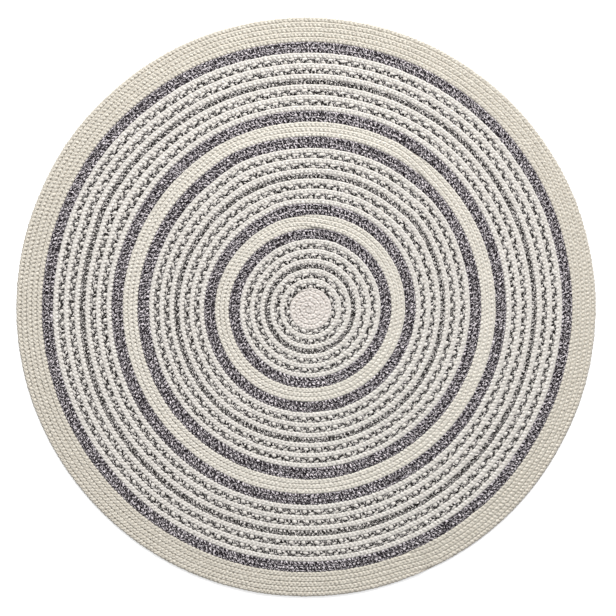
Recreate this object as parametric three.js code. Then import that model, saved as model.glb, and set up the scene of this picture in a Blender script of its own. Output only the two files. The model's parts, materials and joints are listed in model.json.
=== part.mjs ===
// A round braided rug, 1.8 m across. Lengths of flat three-strand braid, in cream, charcoal and mixed
// yarn, are each wound into closed rings and sewn side by side, so the rug lies flat on the floor.
// Millimetres, +Z up. The origin is on the floor, below the middle of the round outline.
import * as THREE from "three";

// The braid's section. A ring stands on its full width and leans in to a narrower crown.
const THICKNESS = 10;
const CROWN_INSET = 3;

// Clearance between one length and the next, where the sewing thread draws them together.
const SEAM_GAP = 0.3;

// The rings wander as they are wound: the inner ones lie off centre and a little oval, and the
// rim is true. Each amount is the most that it reaches, at the middle.
const DRIFT_X = 13.6;
const DRIFT_Y = -7.4;
const OVAL_DIAGONAL = 3.4;
const OVAL_STRAIGHT = 0.9;

// Bands from the middle outwards. Each yarn of a band is one length of braid, wound round once or
// more, and the lengths share the band's width. Sides is the number of flats in each length's outline.
const FIELD = "cream mixed cream mixed cream dark cream mixed cream mixed cream";
const BANDS = [
  { name: "centre",       width: 64.6,  sides: 16, yarns: "cream" },
  { name: "field1",       width: 152.0, sides: 16, yarns: FIELD.replace("cream ", "") },
  { name: "ring1_inner",  width: 32.6,  sides: 32, yarns: "dark" },
  { name: "ring1_middle", width: 43.1,  sides: 32, yarns: "cream" },
  { name: "ring1_outer",  width: 33.2,  sides: 32, yarns: "dark" },
  { name: "field2",       width: 171.2, sides: 32, yarns: FIELD },
  { name: "ring2_inner",  width: 35.4,  sides: 32, yarns: "dark" },
  { name: "ring2_middle", width: 45.3,  sides: 32, yarns: "cream" },
  { name: "ring2_outer",  width: 34.1,  sides: 32, yarns: "dark" },
  { name: "field3",       width: 178.3, sides: 32, yarns: FIELD },
  { name: "rim_inner",    width: 32.6,  sides: 64, yarns: "dark" },
  { name: "rim_outer",    width: 77.6,  sides: 64, yarns: "cream" },
];
const RIM_RADIUS = BANDS.reduce((sum, band) => sum + band.width, 0);

const YARNS = {
  cream: new THREE.MeshStandardMaterial({ color: 0xdad3c7, roughness: 0.95, metalness: 0 }),
  mixed: new THREE.MeshStandardMaterial({ color: 0x9c9893, roughness: 0.95, metalness: 0 }),
  dark: new THREE.MeshStandardMaterial({ color: 0x7b7678, roughness: 0.95, metalness: 0 }),
};

/** The point at an angle on the line that a circle of this radius wanders to. */
function wanderedPoint(radius, angle) {
  const share = radius / RIM_RADIUS;
  const slack = 1 - share ** 3;
  const oval = OVAL_DIAGONAL * Math.sin(2 * angle) + OVAL_STRAIGHT * Math.cos(2 * angle);
  const reach = radius + oval * slack;
  return new THREE.Vector2(
    reach * Math.cos(angle) + DRIFT_X * slack,
    reach * Math.sin(angle) + DRIFT_Y * (1 - share),
  );
}

/** The point a share of a turn round an outline that has flats, which lies on a corner or a flat. */
function outlinePoint(radius, sides, turn) {
  const corner = Math.floor(turn * sides);
  const along = turn * sides - corner;
  const start = wanderedPoint(radius, (corner / sides) * 2 * Math.PI);
  const end = wanderedPoint(radius, ((corner + 1) / sides) * 2 * Math.PI);
  return start.lerp(end, along);
}

/** A closed body through rings of points: each section is the loop of points at one turn. */
function closedLoopGeometry(sections) {
  const size = sections[0].length;
  const positions = sections.flat().flatMap((point) => point.toArray());
  const indices = [];
  for (let k = 0; k < sections.length; k++) {
    const here = k * size;
    const next = ((k + 1) % sections.length) * size;
    for (let i = 0; i < size; i++) {
      const j = (i + 1) % size;
      indices.push(here + i, here + j, next + j);
      indices.push(here + i, next + j, next + i);
    }
  }
  return geometryOf(positions, indices);
}

/** The middle's disc: a fan below, a fan above and the leaning side between them. */
function discGeometry(radius, sides) {
  const positions = [...wanderedPoint(0, 0).toArray(), 0, ...wanderedPoint(0, 0).toArray(), THICKNESS];
  const indices = [];
  for (let k = 0; k < sides; k++) {
    const foot = outlinePoint(radius, sides, k / sides);
    const crown = outlinePoint(radius - CROWN_INSET, sides, k / sides);
    positions.push(foot.x, foot.y, 0, crown.x, crown.y, THICKNESS);
    const here = 2 + 2 * k;
    const next = 2 + 2 * ((k + 1) % sides);
    indices.push(0, next, here);
    indices.push(1, here + 1, next + 1);
    indices.push(here, next, next + 1);
    indices.push(here, next + 1, here + 1);
  }
  return geometryOf(positions, indices);
}

function geometryOf(positions, indices) {
  const geometry = new THREE.BufferGeometry();
  geometry.setAttribute("position", new THREE.Float32BufferAttribute(positions, 3));
  geometry.setIndex(indices);
  geometry.computeVertexNormals();
  return geometry;
}

/** One length's ring. Its inner outline follows the flats of the length inside it. */
function ringGeometry(inner, outer, innerSides, sides) {
  const sections = [];
  for (let k = 0; k < sides; k++) {
    const turn = k / sides;
    const innerFoot = outlinePoint(inner, innerSides, turn);
    const outerFoot = outlinePoint(outer, sides, turn);
    const outerCrown = outlinePoint(outer - CROWN_INSET, sides, turn);
    const innerCrown = outlinePoint(inner + CROWN_INSET, innerSides, turn);
    sections.push([
      new THREE.Vector3(innerFoot.x, innerFoot.y, 0),
      new THREE.Vector3(innerCrown.x, innerCrown.y, THICKNESS),
      new THREE.Vector3(outerCrown.x, outerCrown.y, THICKNESS),
      new THREE.Vector3(outerFoot.x, outerFoot.y, 0),
    ]);
  }
  return closedLoopGeometry(sections);
}

/** Winds every band's lengths outwards, one against the next. */
function braidedRug() {
  const rug = new THREE.Group();
  let inner = 0;
  let innerSides = BANDS[0].sides;
  for (const band of BANDS) {
    const yarns = band.yarns.split(" ");
    const lengthWidth = band.width / yarns.length;
    yarns.forEach((yarn, index) => {
      const outer = inner + lengthWidth;
      const edge = outer < RIM_RADIUS - SEAM_GAP ? outer - SEAM_GAP / 2 : RIM_RADIUS;
      const geometry = inner === 0
        ? discGeometry(edge, band.sides)
        : ringGeometry(inner + SEAM_GAP / 2, edge, innerSides, band.sides);
      const mesh = new THREE.Mesh(geometry, YARNS[yarn]);
      const place = yarns.length > 1 ? `_${String(index + 1).padStart(2, "0")}` : "";
      mesh.name = `${band.name}${place}_${yarn}`;
      rug.add(mesh);
      inner = outer;
      innerSides = band.sides;
    });
  }
  return rug;
}

export default braidedRug();
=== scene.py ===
"""The looks of a round braided rug: every row is a real three-strand braid, laid round the CAD rings."""
import json
import math

import bpy
import numpy as np
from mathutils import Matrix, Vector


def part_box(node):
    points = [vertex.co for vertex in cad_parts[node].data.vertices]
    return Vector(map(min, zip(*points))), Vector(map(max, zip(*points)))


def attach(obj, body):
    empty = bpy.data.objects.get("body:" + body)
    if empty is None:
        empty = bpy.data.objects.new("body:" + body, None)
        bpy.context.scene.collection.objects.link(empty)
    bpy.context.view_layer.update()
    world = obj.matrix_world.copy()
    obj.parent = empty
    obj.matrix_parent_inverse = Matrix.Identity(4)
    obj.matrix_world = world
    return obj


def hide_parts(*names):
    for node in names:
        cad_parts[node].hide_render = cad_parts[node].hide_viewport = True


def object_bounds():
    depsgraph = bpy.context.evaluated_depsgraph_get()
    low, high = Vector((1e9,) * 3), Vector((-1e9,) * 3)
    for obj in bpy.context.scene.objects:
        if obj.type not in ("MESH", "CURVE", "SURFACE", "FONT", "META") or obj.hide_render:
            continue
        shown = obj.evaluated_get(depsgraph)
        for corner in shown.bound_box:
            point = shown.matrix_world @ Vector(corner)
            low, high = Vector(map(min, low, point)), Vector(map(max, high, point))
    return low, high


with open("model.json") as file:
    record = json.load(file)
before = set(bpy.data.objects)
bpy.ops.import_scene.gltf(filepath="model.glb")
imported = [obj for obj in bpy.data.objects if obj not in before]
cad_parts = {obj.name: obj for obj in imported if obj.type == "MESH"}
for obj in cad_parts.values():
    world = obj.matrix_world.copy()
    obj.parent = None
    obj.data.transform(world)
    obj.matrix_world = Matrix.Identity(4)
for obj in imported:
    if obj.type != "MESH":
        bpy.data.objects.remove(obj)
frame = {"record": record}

cad_low, cad_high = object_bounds()

# ---------------------------------------------------------------- the braid, in metres
BRAID_WIDTH = 0.0158     # one row across
PERIOD = {               # along the row, while a strand crosses to the far edge and back
    "cream_yarn": 0.0389,
    "mixed_yarn": 0.0395,
    "charcoal_yarn": 0.0415,
}
STRANDS = 3
STEPS = 8                # sections of a strand in one period
SIDES = 5                # corners of a strand's section
STRAND_GIRTH = 0.0265    # round one strand
TAKE_UP = 1.16           # a strand's length over its row's
ROW_LAP = 1.02           # neighbouring rows are laced a little into each other
TALLEST = 1.04           # of the thickness, above which no yarn stands

# A strand's sections in one period, from the outer edge over the other two to the middle, under them
# to the inner edge, and back the same way, and how many eighths of a period each lies along. Corners
# are foot, shoulder, crown, shoulder and foot, each as its share of half the row's width, its share of
# the thickness, and its painted light: how open to the light the yarn lies there, which paints shade
# into the yarn's colour where it is low, in the hollows between strands. A row is bent round the rug,
# so it bulges more on its inner side.
STRAND_SECTIONS = [
    [(0.94, 0.14, 0.2), (1.08, 0.74, 0.8), (0.70, 0.85, 0.8), (0.21, 0.86, 0.5), (-0.02, 0.43, 0.0)],
    [(0.50, 0.35, 0.0), (1.00, 0.71, 0.7), (0.46, 0.84, 0.7), (0.01, 0.80, 0.5), (-0.40, 0.34, 0.0)],
    [(-0.02, 0.02, 0.2), (0.22, 0.40, 0.0), (-0.36, 0.44, 0.1), (-1.08, 0.49, 0.4), (-0.90, 0.02, 0.2)],
    [(0.20, 0.20, 0.0), (0.22, 0.72, 0.4), (-0.49, 0.72, 0.5), (-1.12, 0.53, 0.6), (-0.98, 0.10, 0.2)],
    [(0.41, 0.41, 0.0), (0.25, 0.85, 0.5), (-0.45, 0.90, 0.9), (-1.11, 0.69, 0.9), (-0.88, 0.27, 0.1)],
    [(0.57, 0.44, 0.0), (0.31, 0.85, 0.5), (-0.37, 0.92, 0.9), (-1.09, 0.71, 0.9), (-0.71, 0.29, 0.1)],
    [(0.74, 0.30, 0.0), (0.44, 0.65, 0.2), (-0.23, 0.79, 0.5), (-1.06, 0.57, 0.6), (-0.40, 0.16, 0.0)],
    [(0.90, 0.02, 0.2), (1.06, 0.70, 0.7), (0.65, 0.79, 0.6), (0.19, 0.59, 0.1), (0.10, 0.22, 0.2)],
]
SECTION_PLACES = (0.4, 1.9, 3.0, 4.0, 4.7, 5.3, 6.0, 7.0)
UNDERSIDE_PAINTED_LIGHT = 0.6     # painted light of the faces underneath: how open to the light they are painted, once the rug is turned over

# The rug's outermost edge.
EDGE_DROP = 0.45         # of the thickness, by which it rounds off
EDGE_STARTS = 0.35       # of half the outermost row's width, where that starts
EDGE_NOTCH = 0.0015      # between one strand's turn round the edge and the next one's
EDGE_TURN = 1.5          # eighths of a period from the middle of such a turn to its end

# Unevenness from one crossing to the next.
SWING_RIPPLE = 0.06      # of how far a strand swings out
GIRTH_RIPPLE = 0.06      # of its girth
LIFT_RIPPLE = 0.04       # of its height
SLACK_RIPPLE = 0.045     # of a period, by which a crossing comes early or late
SLACK_SAMPLES = 2        # in a period
SLACK_SPAN = 1.5         # samples over which that changes
BRAID_SEED = 1000        # of the first length, and one more for each next one

# ---------------------------------------------------------------- the winding
# How far the rings wander, as the CAD rings do. Their drift is read from the CAD boxes.
OVAL_DIAGONAL = 0.0034
OVAL_STRAIGHT = 0.0009

# Unevenness on top of that.
WAVER = 0.0010           # rms, in the body of the rug
RIM_WAVER = 0.0005
WAVER_SEED = 41
WAVER_COUNT = 40         # waves that add up to it
WAVER_LENGTHS = (0.22, 0.75)     # shortest and longest wave
WAVER_STARTS = 0.30      # radius by which the rings wander in full
RIM_TRUENESS = 3         # power of the radius with which they stop wandering, towards the rim

# Places where the rows step inwards, one on top of another. Angles are in degrees, the rest in metres.
STEPS_IN = [
    {"angle": 154, "nearest": 0.62, "furthest": 0.81, "step": 0.0060, "run_up": 32, "fall": 9},
    {"angle": 40, "nearest": 0.34, "furthest": 0.55, "step": 0.0050, "run_up": 26, "fall": 10},
    {"angle": 117, "nearest": 0.40, "furthest": 0.60, "step": 0.0050, "run_up": 24, "fall": 12},
    {"angle": 106, "nearest": 0.29, "furthest": 0.37, "step": 0.0040, "run_up": 20, "fall": 12},
]
STEP_FADE = 1.6          # how soon a step reaches its full size, between nearest and furthest

# A wound length steps out by one row at the end of each turn, and tapers at its own two ends.
JOG_LENGTH = 0.17        # along the row
JOG_MOST = 0.45          # of a turn
TAPER_LEAD = 0.8         # of a jog, which the length runs on at each end
TAPER_STARTS = 0.5       # of a row's width, under which a tapering row gets lower too
TAPER_LEAST = 0.3        # of the thickness
LENGTH_SAMPLES = 4001    # along a length, to measure it


# ---------------------------------------------------------------- where the rows lie
def ring_facts():
    """Each CAD ring's name, slot, drift, radii and turns, from the middle of the rug outwards."""
    rings = []
    for part in frame["record"]["subparts"]:
        low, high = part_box(part["node"])
        rings.append({
            "node": part["node"],
            "slot": part["material_slot"],
            "drift": ((low.x + high.x) / 2, (low.y + high.y) / 2),
            "outer": (high.x - low.x + high.y - low.y) / 4,
        })
    rings.sort(key=lambda ring: ring["outer"])
    inner = 0.0
    for ring in rings:
        ring["inner"] = inner
        ring["turns"] = max(1, round((ring["outer"] - inner) / BRAID_WIDTH))
        inner = ring["outer"]
    return rings


RINGS = ring_facts()
RIM = RINGS[-1]["outer"]
DRIFT_RADII = [0.0] + [ring["outer"] for ring in RINGS]
DRIFT_X = [RINGS[0]["drift"][0]] + [ring["drift"][0] for ring in RINGS]
DRIFT_Y = [RINGS[0]["drift"][1]] + [ring["drift"][1] for ring in RINGS]
THICKNESS = cad_high.z - cad_low.z


def waver_waves():
    """Plane waves whose sum is the winding's unevenness: wave numbers along x and y, phase and size."""
    rng = np.random.default_rng(WAVER_SEED)
    shortest, longest = WAVER_LENGTHS
    waves = []
    for _ in range(WAVER_COUNT):
        length = math.exp(rng.uniform(math.log(shortest), math.log(longest)))
        heading = rng.uniform(0, 2 * math.pi)
        number = 2 * math.pi / length
        phase = rng.uniform(0, 2 * math.pi)
        waves.append((number * math.cos(heading), number * math.sin(heading), phase, length ** 0.5))
    total = math.sqrt(sum(size ** 2 for *_, size in waves) / 2)
    return [(kx, ky, phase, size / total) for kx, ky, phase, size in waves]


WAVES = waver_waves()


def smooth(x):
    """0 to 1, with no slope at either end, while x goes from 0 to 1."""
    x = np.clip(x, 0, 1)
    return x * x * (3 - 2 * x)


def step_in(radius, turn, place):
    """The rows swell outwards over the run-up, then step back in over the fall."""
    before = (place["angle"] / 360 - turn) % 1.0
    fall = place["fall"] / 360
    run_up = place["run_up"] / 360
    rise = np.where(before < run_up, smooth(1 - before / run_up), 0)
    after = 1 - before
    rise = np.where(after < fall, smooth(1 - after / fall), rise)
    middle = (place["nearest"] + place["furthest"]) / 2
    reach = (place["furthest"] - place["nearest"]) / 2
    return place["step"] * rise * smooth(STEP_FADE * (1 - np.abs(radius - middle) / reach))


def on_the_rug(radius, angle):
    """Plan position of a point of the even rug, once the winding has wandered."""
    share = np.clip(radius / RIM, 0, 1)
    slack = 1 - share ** RIM_TRUENESS
    turn = (angle / (2 * math.pi)) % 1.0
    oval = OVAL_DIAGONAL * np.sin(2 * angle) + OVAL_STRAIGHT * np.cos(2 * angle)
    waver = sum(size * np.cos(kx * radius * np.cos(angle) + ky * radius * np.sin(angle) + phase)
                for kx, ky, phase, size in WAVES)
    settled = smooth(radius / WAVER_STARTS)
    reach = radius + oval * slack * settled
    reach = reach + waver * (RIM_WAVER + (WAVER - RIM_WAVER) * slack) * settled
    for place in STEPS_IN:
        reach = reach + step_in(radius, turn, place)
    x = reach * np.cos(angle) + np.interp(radius, DRIFT_RADII, DRIFT_X)
    y = reach * np.sin(angle) + np.interp(radius, DRIFT_RADII, DRIFT_Y)
    return x, y


# ---------------------------------------------------------------- the braid's shape
# The third column is painted light: low where shade is painted into the yarn's colour.
ACROSS, UP, CORNER_PAINTED_LIGHT = np.moveaxis(np.array(STRAND_SECTIONS), -1, 0)
PLACES = np.array(SECTION_PLACES)
FROM_EDGE = (PLACES - PLACES[0] + STEPS / 2) % STEPS - STEPS / 2
# 0 in the middle of a strand's turn round the outer edge, and 1 where it comes and goes.
TURN_ENDS = np.clip(np.abs(FROM_EDGE) / EDGE_TURN, 0, 1) ** 2


def ripple(rng, count, span, closed):
    """Smooth seeded noise of unit size over count samples, which changes over about span samples."""
    knots = max(3, round(count / span))
    values = rng.normal(0, 1, knots + 1)
    if closed:
        values[-1] = values[0]
    at = np.linspace(0, knots, count, endpoint=not closed)
    low = np.minimum(np.floor(at).astype(int), knots - 1)
    return values[low] + (values[low + 1] - values[low]) * smooth(at - low)


def shape_strand(rng, step, closed):
    """A strand's corners at each step of its period: shares of half the row's width and of the thickness.

    Each crossing differs a little from the next.
    """
    swing = 1 + SWING_RIPPLE * ripple(rng, len(step), STEPS / 2, closed)[:, None]
    girth = 1 + GIRTH_RIPPLE * ripple(rng, len(step), STEPS / 2, closed)[:, None]
    lift = LIFT_RIPPLE * ripple(rng, len(step), STEPS / 2, closed)[:, None]
    across = ACROSS[step % STEPS]
    up = UP[step % STEPS]
    centre_across = across.mean(1, keepdims=True)
    centre_up = up.mean(1, keepdims=True)
    across = centre_across * swing + (across - centre_across) * girth
    up = centre_up * (1 + lift) + (up - centre_up) * girth
    return across, up


def lay_strand(step, across, up, row, angle):
    """Where a strand's corners lie, in metres, and their painted light: how open to the light each one is,
    less on the rug's outer edge, which gets painted shade.

    row is its row's middle radius, its width and how far its outer edge lies free, at each step.
    """
    radius, width, free = (part[:, None] for part in row)
    edge = free * np.clip((across - EDGE_STARTS) / (1 - EDGE_STARTS), 0, 1) ** 2
    outwards = across * width / 2 * ROW_LAP - EDGE_NOTCH * edge * TURN_ENDS[step % STEPS, None]
    tall = np.clip(width / BRAID_WIDTH / TAPER_STARTS, TAPER_LEAST, 1)
    height = np.clip(up - EDGE_DROP * edge, 0, TALLEST) * THICKNESS * tall
    x, y = on_the_rug(radius + outwards, angle[:, None])
    # Painted light, lowered on the rug's outer edge: painted shade on the rim's flank.
    return x, y, height, CORNER_PAINTED_LIGHT[step % STEPS] - edge


def braid(rng, period, row_at, first, last, closed):
    """The three strands of one length, which runs from one turn to another round the rug.

    row_at gives the row at a turn, as lay_strand takes it.
    Each strand is its points, section by section, with its painted light, how open each lies to the
    light, as a fourth number and how many periods along as a fifth.
    """
    turns = np.linspace(first, last, LENGTH_SAMPLES)
    radii = row_at((turns[1:] + turns[:-1]) / 2)[0]
    lengths = np.concatenate([[0], np.cumsum(2 * math.pi * radii * np.diff(turns))])
    periods = max(1, round(lengths[-1] / period))
    start = rng.uniform(0, 1)
    slack = ripple(rng, periods * SLACK_SAMPLES, SLACK_SPAN, closed) * SLACK_RIPPLE
    slack_at = np.arange(len(slack) + 1)
    slack = np.append(slack, slack[0])
    strands = []
    for strand in range(STRANDS):
        step = np.arange(0 if closed else -STEPS, periods * STEPS)
        along = step // STEPS + PLACES[step % STEPS] / STEPS + strand / STRANDS
        if not closed:
            there = (along >= 0) & (along <= periods)
            step, along = step[there], along[there]
        shift = np.interp(along * SLACK_SAMPLES % slack_at[-1], slack_at, slack)
        turn = np.interp((along % periods if closed else along) / periods * lengths[-1], lengths, turns)
        if closed:
            turn = turn + np.floor(along / periods) * (last - first)
        turn = turn + shift / periods * (last - first)
        across, up = shape_strand(rng, step, closed)
        angle = (turn + start) * 2 * math.pi
        x, y, height, painted_light = lay_strand(step, across, up, row_at(turn), angle)
        places = np.broadcast_to(along[:, None], x.shape)
        strands.append(np.stack([x, y, height, painted_light, places], -1).reshape(-1, 5))
    return strands


def ring_strands(ring, index):
    """The strands of one CAD ring's length: a closed ring, or wound so many times round."""
    rng = np.random.default_rng(BRAID_SEED + index)
    turns = ring["turns"]
    period = PERIOD[ring["slot"]]
    row = (ring["outer"] - ring["inner"]) / turns

    def closed_row(turn):
        middle = (ring["outer"] + ring["inner"]) / 2
        return np.full_like(turn, middle), np.full_like(turn, row), np.zeros_like(turn)

    if turns == 1:
        return braid(rng, period, closed_row, 0, 1, True)

    jog_arc = min(JOG_MOST, JOG_LENGTH / (math.pi * (ring["inner"] + ring["outer"])))
    last = turns - 1

    def wound_row(turn):
        whole = np.floor(turn)
        # 0 along a turn, rising to 1 over its last part, while the row steps out.
        jog = smooth((turn - whole - (1 - jog_arc)) / jog_arc)
        radius = ring["inner"] + row * (whole + 0.5 + jog)
        radius = np.where(whole < 0, ring["inner"] + row * jog / 2, radius)
        radius = np.where(whole >= last, ring["outer"] - row * (1 - jog) / 2, radius)
        width = np.where(whole < 0, row * jog, row)
        width = np.where(whole >= last, row * (1 - jog), width)
        free = np.where(whole >= last, 1.0, np.where(whole == last - 1, jog, 0.0))
        return radius, width, free * (ring is RINGS[-1])

    lead = jog_arc * TAPER_LEAD
    return braid(rng, period, wound_row, -lead, turns - jog_arc + lead, False)


# ---------------------------------------------------------------- the braid's meshes
MAP_GAP = 0.0015         # of the baked map's side, left free round each strip of strand
CAP_SIZE = 0.4           # of a strip's height, from an end cap's middle to its corners on that map
STRAND_OFFSET = 7.3      # metres of yarn from one strand's pattern to the next one's
PIECE_OFFSET = 31.7      # and from one length's to the next one's


def tube_faces(sections, closed):
    """Quads round a tube, four corners each, numbered section by section."""
    spans = sections if closed else sections - 1
    here, side = np.meshgrid(np.arange(spans), np.arange(SIDES), indexing="ij")
    ahead = (here + 1) % sections
    beside = (side + 1) % SIDES
    quads = np.stack([here * SIDES + side, ahead * SIDES + side,
                      ahead * SIDES + beside, here * SIDES + beside], -1)
    return quads.reshape(-1, 4)


def strand_faces(strands, closed):
    """Each strand's quads, and the caps at the ends of those that aren't closed."""
    quads, caps, first = [], [], 0
    for strand in strands:
        quads.append(tube_faces(len(strand) // SIDES, closed) + first)
        if not closed:
            last = first + len(strand) - SIDES
            caps.append([first + side for side in range(SIDES)])
            caps.append([last + side for side in reversed(range(SIDES))])
        first += len(strand)
    return quads, caps


def yarn_map(strands, period, index, closed):
    """Metres along the yarn and turns round the strand, at every quad's corners."""
    side = np.arange(SIDES)
    sides = np.stack([side, side, side + 1, side + 1], -1) / SIDES
    lay = []
    for number, strand in enumerate(strands):
        place = strand[::SIDES, 4] * period
        if closed:
            place = np.append(place, place[0] + len(place) / STEPS * period)
        u = np.stack([place[:-1], place[1:], place[1:], place[:-1]], -1).repeat(SIDES, axis=0)
        u = u + STRAND_OFFSET * number + PIECE_OFFSET * index
        lay.append(np.stack([u, np.tile(sides, (len(place) - 1, 1))], -1).reshape(-1, 2))
    return np.concatenate(lay)


def strip_map(spans, girth, metres, caps):
    """Places on a flat map of every strand, for baking: cut into strips which fill the unit square.

    spans is how many sections long each strand is, metres how long one is. Caps share the last strip.
    """
    per_strip = math.ceil(math.sqrt(sum(spans) * girth / metres))
    strips = [math.ceil(count / per_strip) for count in spans]
    rows = sum(strips) + (1 if caps else 0)
    places = []
    for number, count in enumerate(spans):
        span, side = np.meshgrid(np.arange(count), np.arange(SIDES), indexing="ij")
        column = span % per_strip
        row = sum(strips[:number]) + span // per_strip
        left, right = column / per_strip, (column + 1) / per_strip
        low = row / rows + MAP_GAP + side / SIDES * (1 / rows - 2 * MAP_GAP)
        high = low + (1 / rows - 2 * MAP_GAP) / SIDES
        u = MAP_GAP + np.stack([left, right, right, left], -1) * (1 - 2 * MAP_GAP)
        places.append(np.stack([u, np.stack([low, low, high, high], -1)], -1).reshape(-1, 2))
    corner = np.arange(SIDES) * 2 * math.pi / SIDES
    for cap in range(caps):
        middle = np.array([(cap + 0.5) / caps, 1 - 0.5 / rows])
        places.append(middle + CAP_SIZE / rows * np.stack([np.cos(corner), np.sin(corner)], -1))
    return np.concatenate(places)


def build_mesh(name, points, corners, totals):
    """A smooth mesh. Its faces take so many corners each, and corners are numbers of points."""
    mesh = bpy.data.meshes.new(name)
    mesh.vertices.add(len(points))
    mesh.vertices.foreach_set("co", points.astype(np.float32).ravel())
    mesh.loops.add(len(corners))
    mesh.loops.foreach_set("vertex_index", corners.astype(np.int32))
    starts = np.concatenate([[0], np.cumsum(totals)[:-1]])
    mesh.polygons.add(len(totals))
    mesh.polygons.foreach_set("loop_start", starts.astype(np.int32))
    mesh.polygons.foreach_set("loop_total", totals.astype(np.int32))
    mesh.polygons.foreach_set("use_smooth", np.ones(len(totals), bool))
    mesh.update(calc_edges=True)
    return mesh


def add_map(mesh, name, places):
    """A UV map with one place for every corner."""
    mesh.uv_layers.new(name=name).uv.foreach_set("vector", places.astype(np.float32).ravel())


def wear_yarns(mesh, ring, index, strand_quads, caps):
    """Each strand of a length in its yarn. Mixed braid has two charcoal strands and one cream one."""
    wound = {0: "centre", len(RINGS) - 1: "rim"}.get(index, "cream")
    pale = YARNS[wound if ring["turns"] > 1 else "field"]
    one_turn = "mixed charcoal" if ring["slot"] == "mixed_yarn" else "field charcoal"
    dark = YARNS["charcoal" if ring["turns"] > 1 else one_turn]
    for material in (pale, dark):
        mesh.materials.append(material)
    worn = {"cream_yarn": (0, 0, 0), "charcoal_yarn": (1, 1, 1), "mixed_yarn": (1, 0, 1)}[ring["slot"]]
    worn_by_face = np.concatenate([np.repeat(worn, strand_quads), np.repeat(worn, caps // STRANDS)])
    mesh.polygons.foreach_set("material_index", worn_by_face.astype(np.int32))


def make_piece(ring, index):
    """One length of braid as a mesh, which stands for its CAD ring."""
    closed = ring["turns"] == 1
    period = PERIOD[ring["slot"]] * TAKE_UP
    strands = ring_strands(ring, index)
    points = np.concatenate(strands)
    quads, caps = strand_faces(strands, closed)
    strand_quads = [len(faces) for faces in quads]
    quads = np.concatenate(quads)
    corners = np.concatenate([quads.ravel(), np.array(caps, int).ravel()])
    totals = np.concatenate([np.full(len(quads), 4), np.full(len(caps), SIDES)])
    mesh = build_mesh(ring["node"], points[:, :3], corners, totals)

    # Painted light at every corner, for the yarn's painted shade; faces underneath get one set painted
    # light all over.
    painted_light = points[corners, 3]
    underneath = np.arange(len(quads)) % SIDES == SIDES - 1
    painted_light[:len(quads) * 4].reshape(-1, 4)[underneath] = UNDERSIDE_PAINTED_LIGHT
    mesh.attributes.new("open", "FLOAT", "CORNER").data.foreach_set("value", painted_light.astype(np.float32))
    lay = yarn_map(strands, period, index, closed)
    add_map(mesh, "yarn", np.concatenate([lay, np.zeros((len(corners) - len(lay), 2))]))
    spans = [count // SIDES for count in strand_quads]
    add_map(mesh, "OFBake", strip_map(spans, STRAND_GIRTH, period / STEPS, len(caps)))
    wear_yarns(mesh, ring, index, strand_quads, len(caps))

    piece = bpy.data.objects.new("braid_" + ring["node"], mesh)
    bpy.context.scene.collection.objects.link(piece)
    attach(piece, "root")
    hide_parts(ring["node"])


# ---------------------------------------------------------------- materials
PLIES = 8                # small yarns side by side round a strand
LAY = 0.06               # metres in which they go once round it
PLY_RELIEF = 0.0005
MOTTLE = 0.0075          # how long a ply keeps its tone
PLY_MOTTLE = 0.6         # how much of it changes from ply to ply

FIBRE_LENGTH = 0.004
FIBRE_FINENESS = 9.0     # changes across one ply
FIBRE_DETAIL = 2.0
FIBRE_ROUGHNESS = 0.6
FIBRE_RELIEF = 0.0002

# What makes yarn pale: its mottle and fibres, painted shade in the grooves between its plies and painted
# shade in the hollows of the braid; and the range of their sum in which it goes from deep to pale.
TONE_BY_MOTTLE = 0.9
PLY_GROOVE_PAINTED_SHADE = 0.25
TONE_BY_FIBRE = 0.6
TONE_BY_PAINTED_LIGHT = 0.10
TONE_RANGE = (0.35, 0.85)

# Marl is a second yarn that is twisted into each ply.
MARL_LAY = 0.0085        # metres in which it shows once
MARL_SLANT = 0.7         # of a lay, across one ply
MARL_SHIFT = 0.15        # of a lay, from one ply to the next
MARL_SHARE = -0.05       # how much of it shows, before what follows is added
MARL_BY_MOTTLE = 5.0
# Painted shade: less marl shows where the yarn lies in the hollows of the braid.
MARL_BY_PAINTED_LIGHT = 1.3
MARL_BY_FIBRE = 0.9
MARL_BLUR = 0.06
MARL_RELIEF = 0.00015

YARN_ROUGHNESS = 0.95
YARN_SPECULAR = 0.1


class Nodes:
    """Short calls for the node tree of a material or a world."""

    def __init__(self, owner):
        owner.use_nodes = True
        self.tree = owner.node_tree

    def existing(self, name):
        """A node that a new tree has."""
        return self.tree.nodes[name]

    def put(self, socket, value):
        if isinstance(value, bpy.types.NodeSocket):
            self.tree.links.new(value, socket)
        else:
            socket.default_value = value

    def node(self, kind, inputs=None, **settings):
        node = self.tree.nodes.new(kind)
        for key, value in settings.items():
            setattr(node, key, value)
        for key, value in (inputs or {}).items():
            self.put(node.inputs[key], value)
        return node

    def add(self, kind, inputs=None, **settings):
        """A new node's first output."""
        return self.node(kind, inputs, **settings).outputs[0]

    def math(self, operation, *values):
        return self.add("ShaderNodeMath", dict(enumerate(values)), operation=operation)

    def scaled_spread(self, value, scale, onto):
        """onto, and scale times how far a value from 0 to 1 is above a half."""
        return self.math("MULTIPLY_ADD", self.math("SUBTRACT", value, 0.5), scale, onto)

    def point(self, x, y):
        return self.add("ShaderNodeCombineXYZ", {"X": x, "Y": y})

    def noise(self, point, detail=1.0, roughness=0.5):
        inputs = {"Vector": point, "Scale": 1.0, "Detail": detail, "Roughness": roughness}
        return self.add("ShaderNodeTexNoise", inputs)

    def ramp(self, value, low, high):
        """0 to 1, smoothly, while the value goes from low to high."""
        inputs = {"Value": value, "From Min": low, "From Max": high}
        return self.add("ShaderNodeMapRange", inputs, interpolation_type="SMOOTHSTEP")

    def mix(self, share, first, second):
        """The first colour turned into the second by that share. Either may be a socket."""
        node = self.node("ShaderNodeMix", data_type="RGBA")
        self.put(node.inputs[0], share)
        for socket, colour in ((node.inputs[6], first), (node.inputs[7], second)):
            self.put(socket, (*colour, 1) if isinstance(colour, tuple) else colour)
        return node.outputs[2]


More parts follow.
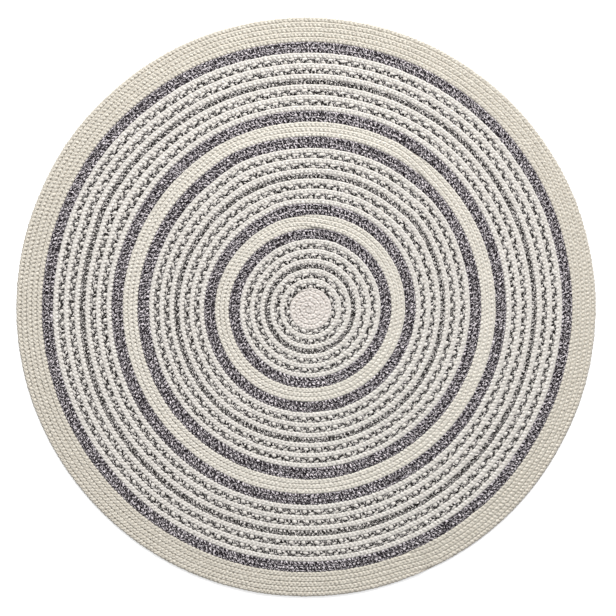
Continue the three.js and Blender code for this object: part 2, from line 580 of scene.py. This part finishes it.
def ply_pattern(nodes):
    """What varies over plied yarn: metres along, the ply and the place across it, tones, and the painted
    light that paints shade into the hollows of the braid.
    """
    lay = nodes.add("ShaderNodeUVMap", uv_map="yarn")
    split = nodes.node("ShaderNodeSeparateXYZ", {0: lay}).outputs
    along, around = split["X"], split["Y"]
    ply = nodes.math("MULTIPLY_ADD", around, float(PLIES), nodes.math("MULTIPLY", along, PLIES / LAY))
    mottle_at = nodes.point(nodes.math("MULTIPLY", along, 1 / MOTTLE),
                            nodes.math("MULTIPLY", ply, PLY_MOTTLE))
    fibre_at = nodes.point(nodes.math("MULTIPLY", along, 1 / FIBRE_LENGTH),
                           nodes.math("MULTIPLY", ply, FIBRE_FINENESS))
    return {
        "along": along,
        "ply": ply,
        "within": nodes.math("FRACT", ply),
        "mottle": nodes.noise(mottle_at),
        "fibre": nodes.noise(fibre_at, FIBRE_DETAIL, FIBRE_ROUGHNESS),
        "painted_light": nodes.node("ShaderNodeAttribute", attribute_name="open").outputs["Fac"],
    }


def marl_shown(nodes, yarn, share):
    """1 where the second yarn of each ply shows, and 0 elsewhere."""
    number = nodes.math("FLOORED_MODULO", nodes.math("FLOOR", yarn["ply"]), float(PLIES))
    twist = nodes.math("MULTIPLY", yarn["within"], MARL_SLANT)
    twist = nodes.math("MULTIPLY_ADD", yarn["along"], 1 / MARL_LAY, twist)
    twist = nodes.math("FRACT", nodes.math("MULTIPLY_ADD", number, MARL_SHIFT, twist))
    share = nodes.scaled_spread(yarn["mottle"], MARL_BY_MOTTLE, share)
    # Painted shade: less of the marl shows where the yarn lies deep in the braid.
    share = nodes.scaled_spread(yarn["painted_light"], MARL_BY_PAINTED_LIGHT, share)
    share = nodes.scaled_spread(yarn["fibre"], MARL_BY_FIBRE, share)
    return nodes.ramp(nodes.math("SUBTRACT", share, twist), -MARL_BLUR, MARL_BLUR)


def yarn_material(name, pale, deep, marl=None, marl_share=0.0):
    """Plied yarn, with shade painted deep between its plies and their ridges pale, and shade painted into
    the hollows of the braid.

    marl, where given, is the colour of a second yarn that is twisted into each ply, and marl_share
    how much more of it shows.
    """
    material = bpy.data.materials.new(name)
    nodes = Nodes(material)
    shader = nodes.existing("Principled BSDF").inputs
    yarn = ply_pattern(nodes)
    ridge = nodes.math("SINE", nodes.math("MULTIPLY", yarn["within"], math.pi))
    height = nodes.math("MULTIPLY", ridge, PLY_RELIEF)
    height = nodes.math("MULTIPLY_ADD", yarn["fibre"], FIBRE_RELIEF, height)
    # Painted shade: the yarn is deep in the grooves between plies and pale on their ridges.
    tone = nodes.math("MULTIPLY", ridge, PLY_GROOVE_PAINTED_SHADE)
    tone = nodes.math("MULTIPLY_ADD", yarn["mottle"], TONE_BY_MOTTLE, tone)
    tone = nodes.scaled_spread(yarn["fibre"], TONE_BY_FIBRE, tone)
    # Painted shade: the yarn is deeper where it lies in the hollows of the braid.
    tone = nodes.scaled_spread(yarn["painted_light"], TONE_BY_PAINTED_LIGHT, tone)
    colour = nodes.mix(nodes.ramp(tone, *TONE_RANGE), deep, pale)
    if marl:
        shown = marl_shown(nodes, yarn, MARL_SHARE + marl_share)
        colour = nodes.mix(shown, colour, marl)
        height = nodes.math("MULTIPLY_ADD", shown, MARL_RELIEF, height)
    nodes.put(shader["Base Color"], colour)
    shader["Roughness"].default_value = YARN_ROUGHNESS
    shader["Specular IOR Level"].default_value = YARN_SPECULAR
    bump = nodes.add("ShaderNodeBump", {"Height": height, "Distance": 1.0, "Strength": 1.0})
    nodes.put(shader["Normal"], bump)
    return material


# The charcoal yarn of the one-turn lengths is browner than that of the bands.
FIELD_CHARCOAL = {
    "pale": (0.045, 0.039, 0.037),
    "deep": (0.010, 0.009, 0.008),
    "marl": (0.82, 0.775, 0.74),
}
YARNS = {
    "centre": yarn_material("centre_yarn", (0.888, 0.831, 0.791), (0.606, 0.549, 0.496)),
    "cream": yarn_material("cream_yarn", (0.88, 0.84, 0.765), (0.60, 0.555, 0.48)),
    "field": yarn_material("field_yarn", (0.885, 0.85, 0.805), (0.61, 0.57, 0.52)),
    "rim": yarn_material("rim_yarn", (0.80, 0.755, 0.668), (0.55, 0.50, 0.42)),
    "charcoal": yarn_material("charcoal_yarn", (0.045, 0.037, 0.042), (0.010, 0.008, 0.010),
                              marl=(0.82, 0.76, 0.79)),
    "field charcoal": yarn_material("field_charcoal_yarn", **FIELD_CHARCOAL, marl_share=0.07),
    "mixed charcoal": yarn_material("mixed_charcoal_yarn", **FIELD_CHARCOAL, marl_share=-0.02),
}

for index, ring in enumerate(RINGS):
    make_piece(ring, index)


# ---------------------------------------------------------------- stage, light and camera, in metres
FLOOR_REACH = 30         # from the middle to each side
FLOOR_WHITE = 0.8
FLOOR_ROUGHNESS = 0.9
FLOOR_GLOW = 0.55        # of the floor near the rug, to the camera, on top of the light that it gets
FAR_FLOOR = (1.6, 4.0)   # from the middle, over which the floor turns to plain white
HOLE_MARGIN = 0.004      # from the rug's edge to the part of the floor that lets light through
WORLD_LIGHT = 0.19       # strength of the light all round

# Azimuth is from +X towards +Y, in degrees as the elevation is, and power is in watts.
LAMPS = [
    {"name": "key", "azimuth": 86, "elevation": 36, "distance": 9.0, "size": 2.4, "power": 1025},
    {"name": "right", "azimuth": 20, "elevation": 55, "distance": 3.5, "size": 1.5, "power": 14},
    {"name": "left", "azimuth": 205, "elevation": 55, "distance": 3.0, "size": 1.5, "power": 10},
    {"name": "under", "azimuth": 250, "elevation": -50, "distance": 4.0, "size": 2.0, "power": 100},
]

CAMERA_HEIGHT = 4.2      # above the rug
CAMERA_X = 0.0061
CAMERA_Y = -0.0035
VIEW_WIDTH = 1.9104      # of the rug's top, across the picture
SENSOR_WIDTH = 36        # millimetres


def seen_directly(nodes):
    """1 where the camera, a mirror or glass looks and 0 where light only bounces, and the camera alone."""
    path = nodes.node("ShaderNodeLightPath").outputs
    seen = nodes.math("ADD", path["Is Camera Ray"], path["Is Glossy Ray"])
    return nodes.math("ADD", seen, path["Is Transmission Ray"]), path["Is Camera Ray"]


def floor_material():
    """White to the camera, with the rug's shadow on it.

    It can be seen through from below, and light from below reaches the underside of the rug.
    """
    material = bpy.data.materials.new("floor")
    nodes = Nodes(material)
    principled = nodes.existing("Principled BSDF")
    shader = principled.inputs
    shader["Base Color"].default_value = (FLOOR_WHITE, FLOOR_WHITE, FLOOR_WHITE, 1)
    shader["Roughness"].default_value = FLOOR_ROUGHNESS
    shader["Emission Color"].default_value = (1, 1, 1, 1)
    seen, by_camera = seen_directly(nodes)
    geometry = nodes.node("ShaderNodeNewGeometry").outputs
    from_middle = nodes.node("ShaderNodeVectorMath", {0: geometry["Position"]}, operation="LENGTH")
    off_centre = from_middle.outputs["Value"]
    under_rug = nodes.math("LESS_THAN", off_centre, RIM - BRAID_WIDTH)
    under_strands = nodes.math("LESS_THAN", off_centre, RIM - HOLE_MARGIN)
    glow = nodes.math("MULTIPLY_ADD", nodes.ramp(off_centre, *FAR_FLOOR), 1 - FLOOR_GLOW, FLOOR_GLOW)
    glow = nodes.math("MULTIPLY", glow, nodes.math("SUBTRACT", 1.0, under_rug))
    nodes.put(shader["Emission Strength"], nodes.math("MULTIPLY", seen, glow))
    hole = nodes.math("MULTIPLY", under_strands, nodes.math("SUBTRACT", 1.0, by_camera))
    through = nodes.math("MAXIMUM", geometry["Backfacing"], hole)
    clear = nodes.add("ShaderNodeBsdfTransparent")
    surface = nodes.add("ShaderNodeMixShader", {0: through, 1: principled.outputs[0], 2: clear})
    nodes.put(nodes.existing("Material Output").inputs["Surface"], surface)
    return material


def make_floor():
    mesh = bpy.data.meshes.new("floor")
    corners = [(-1, -1), (1, -1), (1, 1), (-1, 1)]
    mesh.from_pydata([(x * FLOOR_REACH, y * FLOOR_REACH, 0) for x, y in corners], [], [(0, 1, 2, 3)])
    floor = bpy.data.objects.new("floor", mesh)
    bpy.context.scene.collection.objects.link(floor)
    mesh.materials.append(floor_material())


def make_lamp(name, azimuth, elevation, distance, size, power):
    """A round lamp that faces the middle of the rug."""
    data = bpy.data.lights.new(name, "AREA")
    data.shape = "DISK"
    data.size = size
    data.energy = power
    light = bpy.data.objects.new(name, data)
    turn, rise = math.radians(azimuth), math.radians(elevation)
    light.location = (distance * math.cos(rise) * math.cos(turn),
                      distance * math.cos(rise) * math.sin(turn),
                      distance * math.sin(rise))
    light.rotation_euler = (0, math.pi / 2 - rise, turn)
    bpy.context.scene.collection.objects.link(light)


def make_world():
    """White where it is seen, and a soft light all round."""
    world = bpy.data.worlds.new("studio")
    nodes = Nodes(world)
    seen = seen_directly(nodes)[0]
    background = nodes.existing("Background").inputs
    background["Color"].default_value = (1, 1, 1, 1)
    nodes.put(background["Strength"], nodes.math("MULTIPLY_ADD", seen, 1 - WORLD_LIGHT, WORLD_LIGHT))
    bpy.context.scene.world = world


def make_camera():
    """Straight above, as in the photograph."""
    data = bpy.data.cameras.new("camera")
    camera = bpy.data.objects.new("camera", data)
    bpy.context.scene.collection.objects.link(camera)
    data.sensor_width = SENSOR_WIDTH
    data.lens = SENSOR_WIDTH * CAMERA_HEIGHT / VIEW_WIDTH
    camera.location = (CAMERA_X, CAMERA_Y, CAMERA_HEIGHT + THICKNESS)
    bpy.context.scene.camera = camera


make_floor()
for lamp in LAMPS:
    make_lamp(**lamp)
make_world()
make_camera()
bpy.context.scene.view_settings.view_transform = "Standard"
